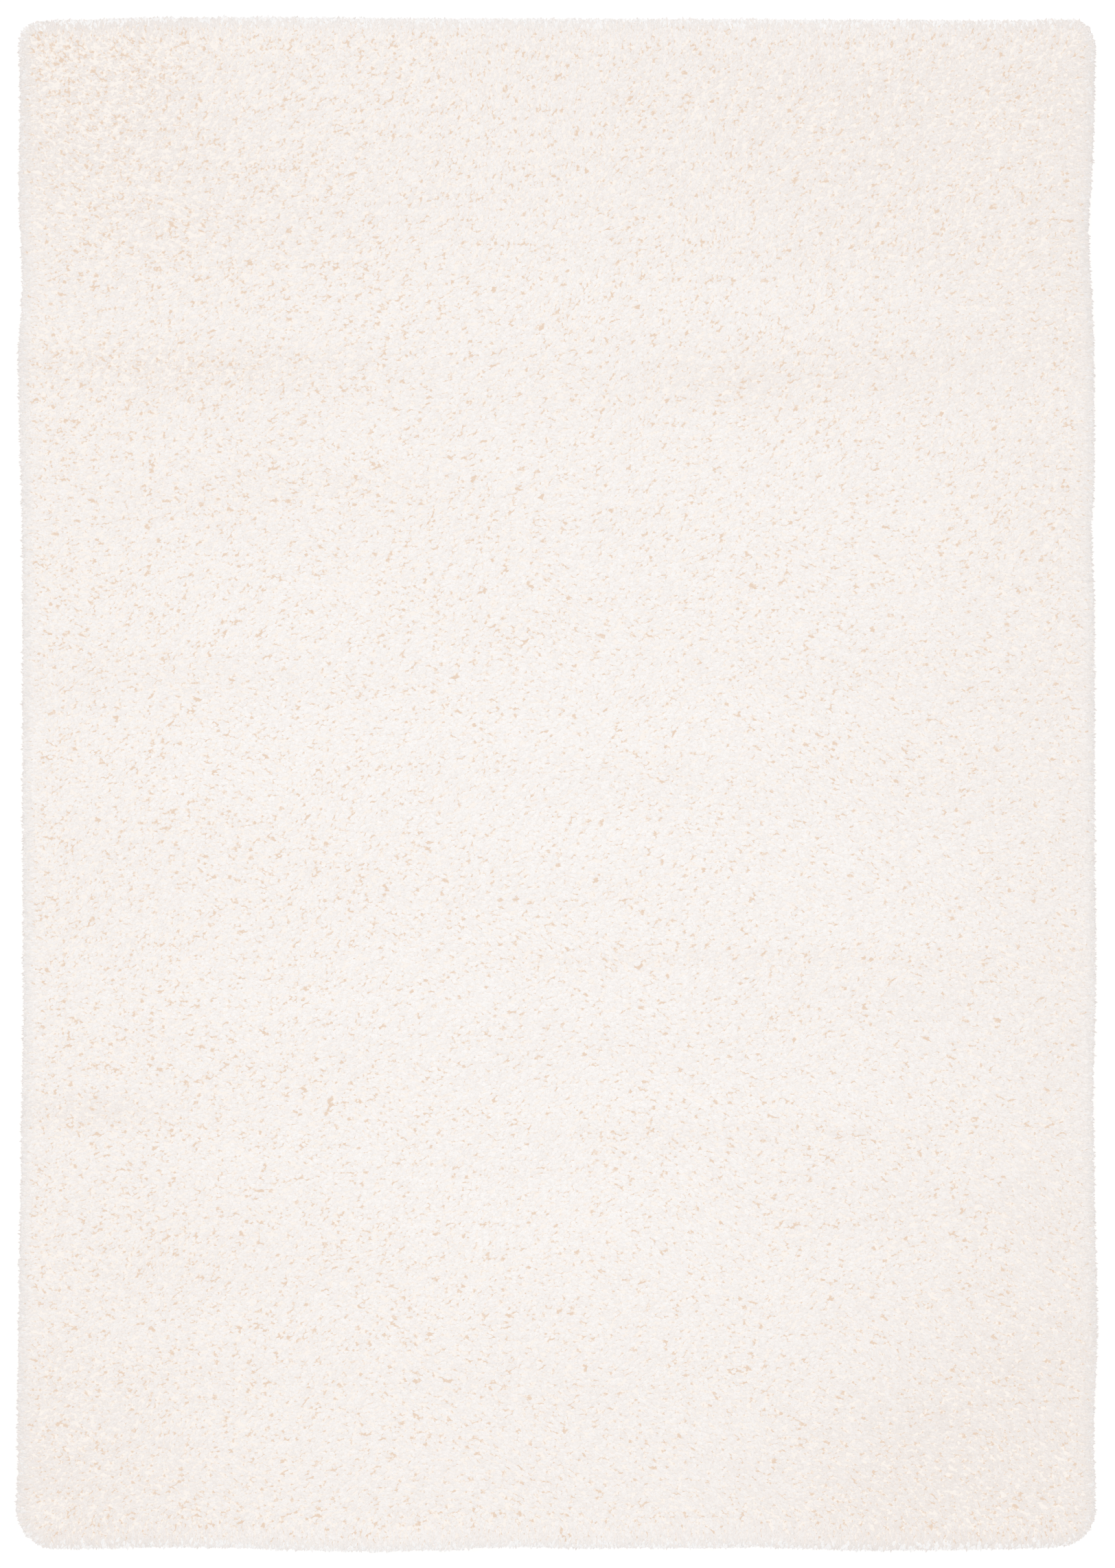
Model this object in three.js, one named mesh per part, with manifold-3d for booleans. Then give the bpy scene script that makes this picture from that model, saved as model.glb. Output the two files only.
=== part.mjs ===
// A shag rug: deep cut pile on a woven ground, lying flat on the floor.
// X runs across the rug, Y along it and Z up. The origin is the middle of
// the underside. Every length is in millimetres.

import * as THREE from 'three';
import { ImprovedNoise } from 'three/addons/math/ImprovedNoise.js';
import { mergeVertices } from 'three/addons/utils/BufferGeometryUtils.js';
import Module from 'manifold-3d';

// ---- Driving dimensions ----

// The woven ground, and how far the pile leans out past it on every side
const GROUND_WIDTH = 1600;
const GROUND_LENGTH = 2286;
const PILE_OVERHANG = 9;

// Half the width and half the length of the pile, measured to its outer tips
const HALF_WIDTH = GROUND_WIDTH / 2 + PILE_OVERHANG;
const HALF_LENGTH = GROUND_LENGTH / 2 + PILE_OVERHANG;

// The rounded corners. `across` is the radius along X and `along` the radius
// along Y. A fullness of 2 is an ellipse, and less is nearer to a bevel.
const CORNERS = {
  frontLeft: { across: 41, along: 60, fullness: 1.7 },
  frontRight: { across: 52, along: 54, fullness: 2 },
  backRight: { across: 27, along: 44, fullness: 2 },
  backLeft: { across: 31, along: 31, fullness: 2 },
};
const SMALLEST_RADIUS = 12;

// How far each side strays outward from a straight line, at places along it
const FRONT_WAVES = [
  { at: -730, out: -1.0 },
  { at: -590, out: -3.4 },
  { at: -498, out: -2.8 },
  { at: -358, out: 2.1 },
  { at: -265, out: 3.8 },
  { at: -172, out: 0.9 },
  { at: -80, out: -3.9 },
  { at: 13, out: -2.1 },
  { at: 246, out: -2.1 },
  { at: 292, out: -3.7 },
  { at: 385, out: -0.5 },
  { at: 478, out: 2.1 },
  { at: 664, out: -0.1 },
  { at: 757, out: -4.0 },
];
const RIGHT_WAVES = [
  { at: -1066, out: 2.0 },
  { at: -974, out: -0.7 },
  { at: -834, out: 5.1 },
  { at: -602, out: 0.9 },
  { at: -462, out: -1.1 },
  { at: -277, out: 3.1 },
  { at: -90, out: 1.0 },
  { at: 281, out: 0.9 },
  { at: 374, out: -4.2 },
  { at: 467, out: 0.8 },
  { at: 653, out: 0.2 },
  { at: 838, out: -8.3 },
  { at: 931, out: -2.1 },
  { at: 1024, out: 1.0 },
  { at: 1117, out: 2.3 },
];
const BACK_WAVES = [
  { at: -776, out: -2.6 },
  { at: -591, out: 2.2 },
  { at: -405, out: 2.4 },
  { at: -219, out: 0.5 },
  { at: 246, out: -0.5 },
  { at: 478, out: -1.5 },
  { at: 664, out: -2.6 },
  { at: 757, out: -0.5 },
];
const LEFT_WAVES = [
  { at: -1066, out: 8.0 },
  { at: -1020, out: 2.7 },
  { at: -974, out: 5.6 },
  { at: -881, out: 4.4 },
  { at: -741, out: 2.5 },
  { at: -556, out: -0.5 },
  { at: -370, out: -3.6 },
  { at: 49, out: -2.6 },
  { at: 374, out: -2.3 },
  { at: 513, out: 1.4 },
  { at: 653, out: 4.5 },
  { at: 746, out: -2.6 },
  { at: 885, out: 3.4 },
  { at: 1024, out: 1.5 },
  { at: 1117, out: 2.6 },
];

// The section through the rim, from the top of the pile out and down to the
// ground. `inset` is measured in from the outer tips.
const RIM = [
  { inset: 36, height: 34, lumps: 1 },
  { inset: 19, height: 32, lumps: 0.9 },
  { inset: 8, height: 26, lumps: 0.6 },
  { inset: 5, height: 11, lumps: 0.2 },
  { inset: PILE_OVERHANG, height: 0, lumps: 0 },
];

// The lumps in the top of the pile, from broad swells to small humps
const LUMPS = [
  { pitch: 310, rise: 2.2, layer: 0.37 },
  { pitch: 108, rise: 5.2, layer: 5.61 },
];

// The faces of the pile: steps along a side, and round half a corner
const STEP = 54;
const HALF_CORNER_STEPS = 3;

// The locks of yarn round the rim. Each is three-sided and droops over the
// edge from its root, inside the pile, to its tip. `width` runs along the edge,
// and `lean` tips the section over from upright, in degrees.
const LOCK_PITCH = 37;
const LOCK_SIDES = 3;
const LOCK_STATIONS = [
  { inset: 20, height: 22, width: 20, depth: 11, lean: 0 },
  { inset: 3.5, height: 20, width: 18, depth: 10, lean: 55 },
  { inset: -1, height: 4, width: 0, depth: 0, lean: 90 },
];

// How far a lock's tip strays along the edge, outward and up
const LOCK_SWAY = 8;
const LOCK_REACH = 1.5;
const LOCK_LIFT = 2;

// Points this near each other are one point
const WELD = 0.02;

const YARN_COLOUR = 0xf5efe8;
const YARN_ROUGHNESS = 0.95;

// ---- The outline ----

// The four sides, counter-clockwise from the front. `heading` runs along the
// side, `facing` points out of the rug, and each side lies between two corners.
const SIDES = [
  {
    across: true,
    heading: [1, 0],
    facing: [0, -1],
    corners: ['frontLeft', 'frontRight'],
    waves: FRONT_WAVES,
  },
  {
    across: false,
    heading: [0, 1],
    facing: [1, 0],
    corners: ['frontRight', 'backRight'],
    waves: RIGHT_WAVES,
  },
  {
    across: true,
    heading: [-1, 0],
    facing: [0, 1],
    corners: ['backRight', 'backLeft'],
    waves: BACK_WAVES,
  },
  {
    across: false,
    heading: [0, -1],
    facing: [-1, 0],
    corners: ['backLeft', 'frontLeft'],
    waves: LEFT_WAVES,
  },
];

// The stray of a side at one place, eased from row to row of its table
function strayAt(waves, at) {
  const next = waves.findIndex((row) => row.at > at);
  if (next === 0) return waves[0].out;
  if (next < 0) return waves[waves.length - 1].out;
  const before = waves[next - 1];
  const after = waves[next];
  const part = THREE.MathUtils.smoothstep(at, before.at, after.at);
  return THREE.MathUtils.lerp(before.out, after.out, part);
}

// A corner's radii along a side and out of it, drawn in with the inset
function cornerRadii(corner, side, inset) {
  const { across, along } = CORNERS[corner];
  const radii = side.across ? [across, along] : [along, across];
  return radii.map((radius) => Math.max(radius - inset / 2, SMALLEST_RADIUS));
}

// Half of a corner, from the end of a side to the corner's middle. Each place
// stops `short` of the side's full run and lies `drop` in from its line.
function halfCorner(corner, side, inset) {
  const [radiusAlong, radiusOut] = cornerRadii(corner, side, inset);
  const power = 2 / CORNERS[corner].fullness;
  const places = [];
  for (let k = 1; k <= HALF_CORNER_STEPS; k += 1) {
    const turn = (Math.PI / 4) * (k / HALF_CORNER_STEPS);
    const short = radiusAlong * (1 - Math.sin(turn) ** power);
    const drop = radiusOut * (1 - Math.cos(turn) ** power);
    places.push({ short, drop, turn });
  }
  return places;
}

// The places of one side, from the middle of its first corner up to the middle
// of its second, where the next side begins
function sidePlaces(side, inset) {
  const fullRun = side.across ? HALF_WIDTH : HALF_LENGTH;
  const halfRun = fullRun - inset;
  const [first, second] = side.corners;
  const opening = halfCorner(first, side, inset).map(({ short, drop, turn }) => ({
    run: short - halfRun,
    drop,
    turn: -turn,
  }));
  const closing = halfCorner(second, side, inset).map(({ short, drop, turn }) => ({
    run: halfRun - short,
    drop,
    turn,
  }));
  const start = cornerRadii(first, side, inset)[0] - halfRun;
  const end = halfRun - cornerRadii(second, side, inset)[0];
  const steps = Math.round((2 * fullRun) / STEP);
  const straight = [];
  for (let k = 0; k <= steps; k += 1) {
    straight.push({ run: THREE.MathUtils.lerp(start, end, k / steps), drop: 0, turn: 0 });
  }
  return [...opening.reverse(), ...straight, ...closing.slice(0, -1)];
}

// A closed ring of points round the rug at one inset, as a list for each side.
// Round a corner the strays of its two sides blend.
function ringSides(inset) {
  return SIDES.map((side, index) => {
    const reach = (side.across ? HALF_LENGTH : HALF_WIDTH) - inset;
    const before = SIDES[(index + SIDES.length - 1) % SIDES.length];
    const after = SIDES[(index + 1) % SIDES.length];
    return sidePlaces(side, inset).map(({ run, drop, turn }) => {
      const x = side.heading[0] * run + side.facing[0] * (reach - drop);
      const y = side.heading[1] * run + side.facing[1] * (reach - drop);
      const other = turn < 0 ? before : after;
      const own = strayAt(side.waves, side.across ? x : y) * Math.cos(turn);
      const lent = strayAt(other.waves, side.across ? y : x) * Math.sin(Math.abs(turn));
      return new THREE.Vector2(
        x + side.facing[0] * own + other.facing[0] * lent,
        y + side.facing[1] * own + other.facing[1] * lent,
      );
    });
  });
}

// ---- The pile ----

const perlin = new ImprovedNoise();

function lumpsAt(x, y) {
  return LUMPS.reduce(
    (sum, { pitch, rise, layer }) => sum + rise * perlin.noise(x / pitch, y / pitch, layer),
    0,
  );
}

// The height of the pile at one point of a row of the rim table
function heightAt(row, x, y) {
  return row.height + row.lumps * lumpsAt(x, y);
}

// One point of the net that spans the top of the pile, blended from the net's
// four edges
function netPoint(edges, i, j) {
  const [front, right, back, left] = edges;
  const u = i / (front.length - 1);
  const v = j / (right.length - 1);
  const blend = (axis) => {
    const ends = (1 - v) * front[i][axis] + v * back[i][axis];
    const flanks = (1 - u) * left[j][axis] + u * right[j][axis];
    const near = (1 - u) * front[0][axis] + u * front[front.length - 1][axis];
    const far = (1 - u) * back[0][axis] + u * back[back.length - 1][axis];
    return ends + flanks - (1 - v) * near - v * far;
  };
  return [blend('x'), blend('y')];
}

function makePile() {
  const positions = [];
  const triangles = [];
  const addPoint = (x, y, z) => positions.push(x, y, z) / 3 - 1;
  const addTriangle = (a, b, c) => triangles.push(a, b, c);

  // The four edges of the net, all counted toward +X or toward +Y
  const [front, right, back, left] = ringSides(RIM[0].inset);
  const edges = [
    [...front, right[0]],
    [...right, back[0]],
    [...back, left[0]].reverse(),
    [...left, front[0]].reverse(),
  ];
  const columns = front.length;
  const rows = right.length;
  const net = [];
  for (let j = 0; j <= rows; j += 1) {
    net.push([]);
    for (let i = 0; i <= columns; i += 1) {
      const [x, y] = netPoint(edges, i, j);
      net[j].push(addPoint(x, y, heightAt(RIM[0], x, y)));
    }
  }
  for (let j = 0; j < rows; j += 1) {
    for (let i = 0; i < columns; i += 1) {
      addTriangle(net[j][i], net[j][i + 1], net[j + 1][i + 1]);
      addTriangle(net[j][i], net[j + 1][i + 1], net[j + 1][i]);
    }
  }

  // The rim, ring by ring from the net's border down to the ground
  let upper = [
    ...front.map((_, k) => net[0][k]),
    ...right.map((_, k) => net[k][columns]),
    ...back.map((_, k) => net[rows][columns - k]),
    ...left.map((_, k) => net[rows - k][0]),
  ];
  let border = [];
  for (const row of RIM.slice(1)) {
    border = ringSides(row.inset).flat();
    const lower = border.map(({ x, y }) => addPoint(x, y, heightAt(row, x, y)));
    upper.forEach((a, k) => {
      const next = (k + 1) % upper.length;
      addTriangle(a, lower[k], lower[next]);
      addTriangle(a, lower[next], upper[next]);
    });
    upper = lower;
  }

  // The flat underside
  for (const [a, b, c] of THREE.ShapeUtils.triangulateShape(border, [])) {
    addTriangle(upper[c], upper[b], upper[a]);
  }
  return closedGeometry(positions, triangles);
}

// ---- The locks ----

// One lock stands on a point of the outline, whose outward direction is `out`
function makeLock(point, out, number) {
  const along = new THREE.Vector2(-out.y, out.x);
  const strays = [LOCK_SWAY, LOCK_REACH, LOCK_LIFT];
  const [sway, reach, lift] = strays.map((most, k) => {
    const seed = number * strays.length + k;
    return most * (2 * THREE.MathUtils.seededRandom(seed) - 1);
  });
  const positions = [];
  const triangles = [];
  const last = LOCK_STATIONS.length - 1;
  LOCK_STATIONS.forEach((station, level) => {
    const grown = level / last;
    const lean = THREE.MathUtils.degToRad(station.lean);
    const corners = level < last ? LOCK_SIDES : 1;
    for (let k = 0; k < corners; k += 1) {
      const angle = Math.PI / 2 + (2 * Math.PI * k) / LOCK_SIDES;
      const aside = (station.width / 2) * Math.cos(angle) + sway * grown;
      const raised = (station.depth / 2) * Math.sin(angle);
      const outward = raised * Math.sin(lean) + reach * grown - station.inset;
      const place = point.clone().addScaledVector(out, outward).addScaledVector(along, aside);
      const height = station.height + lift * grown + raised * Math.cos(lean);
      positions.push(place.x, place.y, height);
    }
  });
  for (let level = 0; level < last; level += 1) {
    const base = level * LOCK_SIDES;
    for (let k = 0; k < LOCK_SIDES; k += 1) {
      const next = (k + 1) % LOCK_SIDES;
      const above = base + LOCK_SIDES;
      if (level + 1 < last) {
        triangles.push(base + k, base + next, above + next, base + k, above + next, above + k);
      } else {
        triangles.push(base + k, base + next, above);
      }
    }
  }
  for (let k = 1; k < LOCK_SIDES - 1; k += 1) triangles.push(0, k + 1, k);
  return closedGeometry(positions, triangles);
}

function makeLocks() {
  const outline = ringSides(0).flat().map(({ x, y }) => new THREE.Vector3(x, y, 0));
  const edge = new THREE.CatmullRomCurve3(outline, true);
  const count = Math.round(edge.getLength() / LOCK_PITCH);
  const locks = [];
  for (let n = 0; n < count; n += 1) {
    const { x, y } = edge.getPointAt(n / count);
    const tangent = edge.getTangentAt(n / count);
    locks.push(makeLock(new THREE.Vector2(x, y), new THREE.Vector2(tangent.y, -tangent.x), n));
  }
  return locks;
}

// ---- Joining ----

// A closed mesh: points nearer than the weld distance become one, and the
// faces that this folds to nothing are dropped
function closedGeometry(positions, triangles) {
  const loose = new THREE.BufferGeometry();
  loose.setAttribute('position', new THREE.Float32BufferAttribute(positions, 3));
  loose.setIndex(triangles);
  const welded = mergeVertices(loose, WELD);
  const kept = [];
  for (let k = 0; k < welded.index.count; k += 3) {
    const face = [0, 1, 2].map((corner) => welded.index.getX(k + corner));
    if (new Set(face).size === 3) kept.push(...face);
  }
  welded.setIndex(kept);
  return welded;
}

const wasm = await Module();
wasm.setup();

function toSolid(geometry) {
  return new wasm.Manifold(
    new wasm.Mesh({
      numProp: 3,
      vertProperties: geometry.attributes.position.array,
      triVerts: Uint32Array.from(geometry.index.array),
    }),
  );
}

function fuse(body, additions) {
  const fused = additions.reduce((solid, extra) => solid.add(toSolid(extra)), toSolid(body));
  const { vertProperties, triVerts } = fused.getMesh();
  return closedGeometry(Array.from(vertProperties), Array.from(triVerts));
}

const yarn = new THREE.MeshStandardMaterial({
  color: YARN_COLOUR,
  roughness: YARN_ROUGHNESS,
  metalness: 0,
});
const rug = new THREE.Mesh(fuse(makePile(), makeLocks()), yarn);
rug.name = 'shag_rug';

// The locks reach out unevenly, so the origin is set under the middle of it all
const middle = new THREE.Box3().setFromObject(rug).getCenter(new THREE.Vector3());
rug.position.set(-middle.x, -middle.y, 0);

const group = new THREE.Group();
group.add(rug);

export default group;
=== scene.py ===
# %% [markdown]
# # A cream shag rug
#
# A shag rug is a woven ground cloth with long yarn standing in it. The yarn is
# cut, so every strand ends in a soft tip, and the tips lean over and lie on
# each other like grass after wind. What the eye sees is those tips, and the
# small warm shadows between them.
#
# The rug is built the way it is made: first the ground, then the mass of yarn
# low in the pile, and then nearly a hundred and sixty thousand yarn ends.
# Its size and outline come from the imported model, which is loaded here and
# never changed.

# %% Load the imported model
import math

import bpy
import numpy as np
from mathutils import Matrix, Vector
from mathutils.bvhtree import BVHTree
from mathutils.kdtree import KDTree


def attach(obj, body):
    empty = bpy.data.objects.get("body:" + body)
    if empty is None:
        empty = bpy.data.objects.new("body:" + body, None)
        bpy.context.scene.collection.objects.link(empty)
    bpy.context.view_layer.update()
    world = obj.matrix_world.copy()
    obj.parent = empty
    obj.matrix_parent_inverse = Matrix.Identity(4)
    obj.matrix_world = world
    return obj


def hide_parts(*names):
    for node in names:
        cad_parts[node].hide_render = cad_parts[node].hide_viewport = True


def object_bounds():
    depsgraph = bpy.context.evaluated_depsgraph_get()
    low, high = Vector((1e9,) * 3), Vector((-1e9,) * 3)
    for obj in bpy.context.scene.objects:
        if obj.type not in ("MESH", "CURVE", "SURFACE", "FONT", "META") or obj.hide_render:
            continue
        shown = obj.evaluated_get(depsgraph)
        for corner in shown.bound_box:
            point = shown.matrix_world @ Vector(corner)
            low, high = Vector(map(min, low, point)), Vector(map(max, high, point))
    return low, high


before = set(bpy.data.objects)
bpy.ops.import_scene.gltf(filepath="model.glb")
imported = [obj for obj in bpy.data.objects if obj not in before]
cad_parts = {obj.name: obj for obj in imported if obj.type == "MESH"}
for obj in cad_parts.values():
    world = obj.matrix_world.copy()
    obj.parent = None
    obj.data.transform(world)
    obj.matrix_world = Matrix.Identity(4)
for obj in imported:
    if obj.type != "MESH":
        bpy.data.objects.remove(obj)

MM = 0.001

cad_low, cad_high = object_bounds()
half = (cad_high - cad_low) / 2
print("packed rug, in mm:", [round(x / MM, 1) for x in cad_high - cad_low])

# %% [markdown]
# ## The rug's outline
#
# A rug that lies loose is never a true rectangle: its sides wander by a few
# millimetres and each corner rounds off in its own way. The outline could be
# drawn again by hand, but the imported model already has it, as the rim of its
# flat underside. So the rim's corners are read from the model and walked
# round in even steps, and everything else is placed by its distance from them.

# %% Read the corners of the underside
TOUCHES_FLOOR = 0.1 * MM
DIGITS_KEPT = 5

rug_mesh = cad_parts["shag_rug"].data


def places_of(mesh):
    """The vertices of a mesh as rows of x, y and z."""
    flat = np.empty(len(mesh.vertices) * 3, np.float32)
    mesh.vertices.foreach_get("co", flat)
    return flat.reshape(-1, 3).astype(float)


def underside_rim(places):
    """The corners of the flat underside, in order round it, counter-clockwise."""
    low = places[places[:, 2] < TOUCHES_FLOOR][:, :2]
    low = np.unique(low.round(DIGITS_KEPT), axis=0)
    return low[np.argsort(np.arctan2(low[:, 1], low[:, 0]))]


rug_places = places_of(rug_mesh)
rim_corners = underside_rim(rug_places)
print("corners of the underside:", len(rim_corners))

# %% Walk round them in even steps
EDGE_STEP = 4 * MM
SMOOTH_REACH = 34 * MM


def walk_round(corners, step):
    """Points at even steps along a closed line through these corners."""
    loop = np.vstack([corners, corners[:1]])
    reached = np.concatenate([[0], np.cumsum(np.linalg.norm(np.diff(loop, axis=0), axis=1))])
    stops = np.linspace(0, reached[-1], round(reached[-1] / step), endpoint=False)
    return np.column_stack([np.interp(stops, reached, loop[:, axis]) for axis in (0, 1)])


def outward(points, reach):
    """The outward direction at each point, eased over a reach along the line."""
    side = round(reach / EDGE_STEP)
    along = np.roll(points, -side, axis=0) - np.roll(points, side, axis=0)
    out = np.column_stack([along[:, 1], -along[:, 0]])
    weights = np.hanning(2 * side + 3)
    eased_out = sum(w * np.roll(out, k - side - 1, axis=0) for k, w in enumerate(weights))
    return eased_out / np.linalg.norm(eased_out, axis=1, keepdims=True)


edge = walk_round(rim_corners, EDGE_STEP)
edge_out = outward(edge, SMOOTH_REACH)
print("steps round the ground:", len(edge))

# %% [markdown]
# ## Distances, heights and swells
#
# Two questions come up again and again: how far is a place from the rug's
# edge, and how high does the pile stand there? A k-d tree answers the first
# for thousands of places at once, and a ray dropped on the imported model
# answers the second, lumps and all.
#
# Nothing about yarn is quite even, so a third helper gives soft random swells.
# It draws random numbers on a lattice and blends between the four nearest,
# with a seed of its own, so the rug comes out the same each time.

# %% Ask for the distance from the edge
edge_tree = KDTree(len(edge))
for number, (x, y) in enumerate(edge):
    edge_tree.insert((x, y, 0), number)
edge_tree.balance()


def inside_edge(places):
    """How far each place lies inside the edge, and which edge point is nearest."""
    nearest = np.array([edge_tree.find((x, y, 0))[1] for x, y in places])
    inward = ((edge[nearest] - places) * edge_out[nearest]).sum(axis=1)
    distance = np.linalg.norm(edge[nearest] - places, axis=1)
    return np.where(inward < 0, -distance, distance), nearest


print("from the middle to the edge, in mm:", round(inside_edge(np.zeros((1, 2)))[0][0] / MM))

# %% Ask for the height of the pile
DROP_FROM = 1.0

rug_mesh.calc_loop_triangles()
rug_surface = BVHTree.FromPolygons(
    [Vector(p) for p in rug_places], [t.vertices for t in rug_mesh.loop_triangles]
)


def pile_height(places):
    """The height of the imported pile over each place."""
    down = Vector((0, 0, -1))
    hits = [rug_surface.ray_cast(Vector((x, y, DROP_FROM)), down)[0] for x, y in places]
    return np.array([hit.z if hit else 0.0 for hit in hits])


print("pile at the middle, in mm:", round(pile_height([(0, 0)])[0] / MM, 1))

# %% Draw soft random swells
LATTICE = 512


def eased(share):
    """A share from 0 to 1 that starts and stops gently."""
    return share * share * (3 - 2 * share)


def swell(places, size, seed):
    """A soft random field from -1 to 1 whose swells are about this size."""
    lattice = np.random.default_rng(seed).uniform(-1, 1, (LATTICE, LATTICE))
    scaled = places / size + LATTICE / 2
    cell = np.floor(scaled).astype(int)
    part = eased(scaled - cell)
    row, column = cell[:, 0] % (LATTICE - 1), cell[:, 1] % (LATTICE - 1)
    near = lattice[row, column] * (1 - part[:, 0]) + lattice[row + 1, column] * part[:, 0]
    far = lattice[row, column + 1] * (1 - part[:, 0]) + lattice[row + 1, column + 1] * part[:, 0]
    return near * (1 - part[:, 1]) + far * part[:, 1]


print("one swell at the middle:", round(swell(np.zeros((1, 2)), 50 * MM, 1)[0], 2))

# %% [markdown]
# ## A net that fits the outline
#
# The ground and the mass of yarn are both wide, flat, closed bodies. A grid
# cut off at the outline would have a ragged edge, so the grid is fitted to the
# outline instead: the outline is split at its four corners, each pair of
# opposite sides is blended, the two blends are added, and the blend of the
# four corners, which both of them hold, is taken away. This is a Coons patch.

# %% Split the outline into four sides
def split_at_corners(ring):
    """The four sides of a ring, each from one corner to the next, front side first."""
    towards = [(-1, -1), (1, -1), (1, 1), (-1, 1)]
    starts = [int(np.argmax(edge @ np.array(t))) for t in towards]
    sides = []
    for start, end in zip(starts, starts[1:] + starts[:1]):
        count = (end - start) % len(ring)
        sides.append(ring[(start + np.arange(count + 1)) % len(ring)])
    return sides


def even_steps(line, count):
    """This many even steps along an open line."""
    places = np.linspace(0, len(line) - 1, count + 1)
    whole = np.arange(len(line))
    return np.column_stack([np.interp(places, whole, line[:, axis]) for axis in (0, 1)])


def border(inset, columns, rows):
    """The outline drawn in by an inset, as four sides with matching steps."""
    sides = split_at_corners(edge - edge_out * inset)
    return [even_steps(side, n) for side, n in zip(sides, (columns, rows, columns, rows))]


print("steps on each side:", [len(side) for side in split_at_corners(edge)])

# %% Stretch a net between them
def net_inside(sides, columns, rows):
    """A grid of points between four sides: a Coons patch."""
    front, right, back, left = sides[0], sides[1], sides[2][::-1], sides[3][::-1]
    u = np.linspace(0, 1, columns + 1)[None, :, None]
    v = np.linspace(0, 1, rows + 1)[:, None, None]
    ends = (1 - v) * front[None] + v * back[None]
    flanks = (1 - u) * left[:, None] + u * right[:, None]
    near = (1 - u) * front[0] + u * front[-1]
    far = (1 - u) * back[0] + u * back[-1]
    return ends + flanks - (1 - v) * near - v * far


def net_faces(columns, rows):
    """The faces of the net, and the numbers of its border points in order."""
    number = np.arange((rows + 1) * (columns + 1)).reshape(rows + 1, columns + 1)
    corners = [number[:-1, :-1], number[:-1, 1:], number[1:, 1:], number[1:, :-1]]
    faces = np.stack(corners, axis=-1).reshape(-1, 4).tolist()
    front, right = number[0, :-1], number[:-1, -1]
    back, left = number[-1, :0:-1], number[:0:-1, 0]
    return faces, np.concatenate([front, right, back, left])


print("faces of a net of 4 by 6:", len(net_faces(4, 6)[0]))

# %% [markdown]
# ## From a net to a closed body
#
# The net is only a top. A solid rug also has sides and an underside, and a
# body with a hole in it can't be printed or weighed. So rings of faces run
# out and down from the net's border, one after another, and a single face
# closes the bottom.

# %% Close the net into a body
def blanket(name, rings, pitch, top_height, finish):
    """A closed body over the outline. Its rings, from the top border down to the
    bottom, are rows of (inset, height), and top_height gives the net's heights."""
    span = cad_high - cad_low
    columns, rows = round(span.x / pitch), round(span.y / pitch)
    flat = net_inside(border(rings[0][0], columns, rows), columns, rows).reshape(-1, 2)
    places = [np.column_stack([flat, top_height(flat)])]
    faces, upper = net_faces(columns, rows)
    made = len(flat)
    for inset, height in rings[1:]:
        loop = np.concatenate([side[:-1] for side in border(inset, columns, rows)])
        places.append(np.column_stack([loop, np.full(len(loop), height)]))
        lower = made + np.arange(len(loop))
        faces += np.column_stack([upper, lower, np.roll(lower, -1), np.roll(upper, -1)]).tolist()
        made += len(loop)
        upper = lower
    faces.append(upper[::-1].tolist())
    mesh = bpy.data.meshes.new(name)
    mesh.from_pydata(np.vstack(places).tolist(), [], faces)
    mesh.shade_smooth()
    mesh.materials.append(finish)
    piece = bpy.data.objects.new(name, mesh)
    bpy.context.scene.collection.objects.link(piece)
    print(name, "faces:", len(faces))
    return piece


# %% [markdown]
# ## Writing materials as sums
#
# A material is a network of small nodes, and adding two numbers takes a node
# of its own. Written out, that hides the idea, so a socket is wrapped in a
# small class that knows +, - and *, and the network is then written as an
# ordinary expression. Every other node is made by one method.

# %% Sums and products of sockets
class Signal:
    """What one socket gives. Sums and products of signals add Math nodes."""

    def __init__(self, pen, socket):
        self.pen = pen
        self.socket = socket

    def math(self, operation, *others):
        return self.pen.add("ShaderNodeMath", {"operation": operation}, [self, *others])

    def give(self, name):
        """Another output of the same node."""
        return Signal(self.pen, self.socket.node.outputs[name])

    def __add__(self, other):
        return self.math("ADD", other)

    def __mul__(self, other):
        return self.math("MULTIPLY", other)

    def __sub__(self, other):
        return self.math("SUBTRACT", other)

    def __rsub__(self, other):
        return self.pen.add("ShaderNodeMath", {"operation": "SUBTRACT"}, [other, self])

    __radd__ = __add__
    __rmul__ = __mul__


# %% A pen for node trees
DRY_SPECULAR = 0.2


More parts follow.
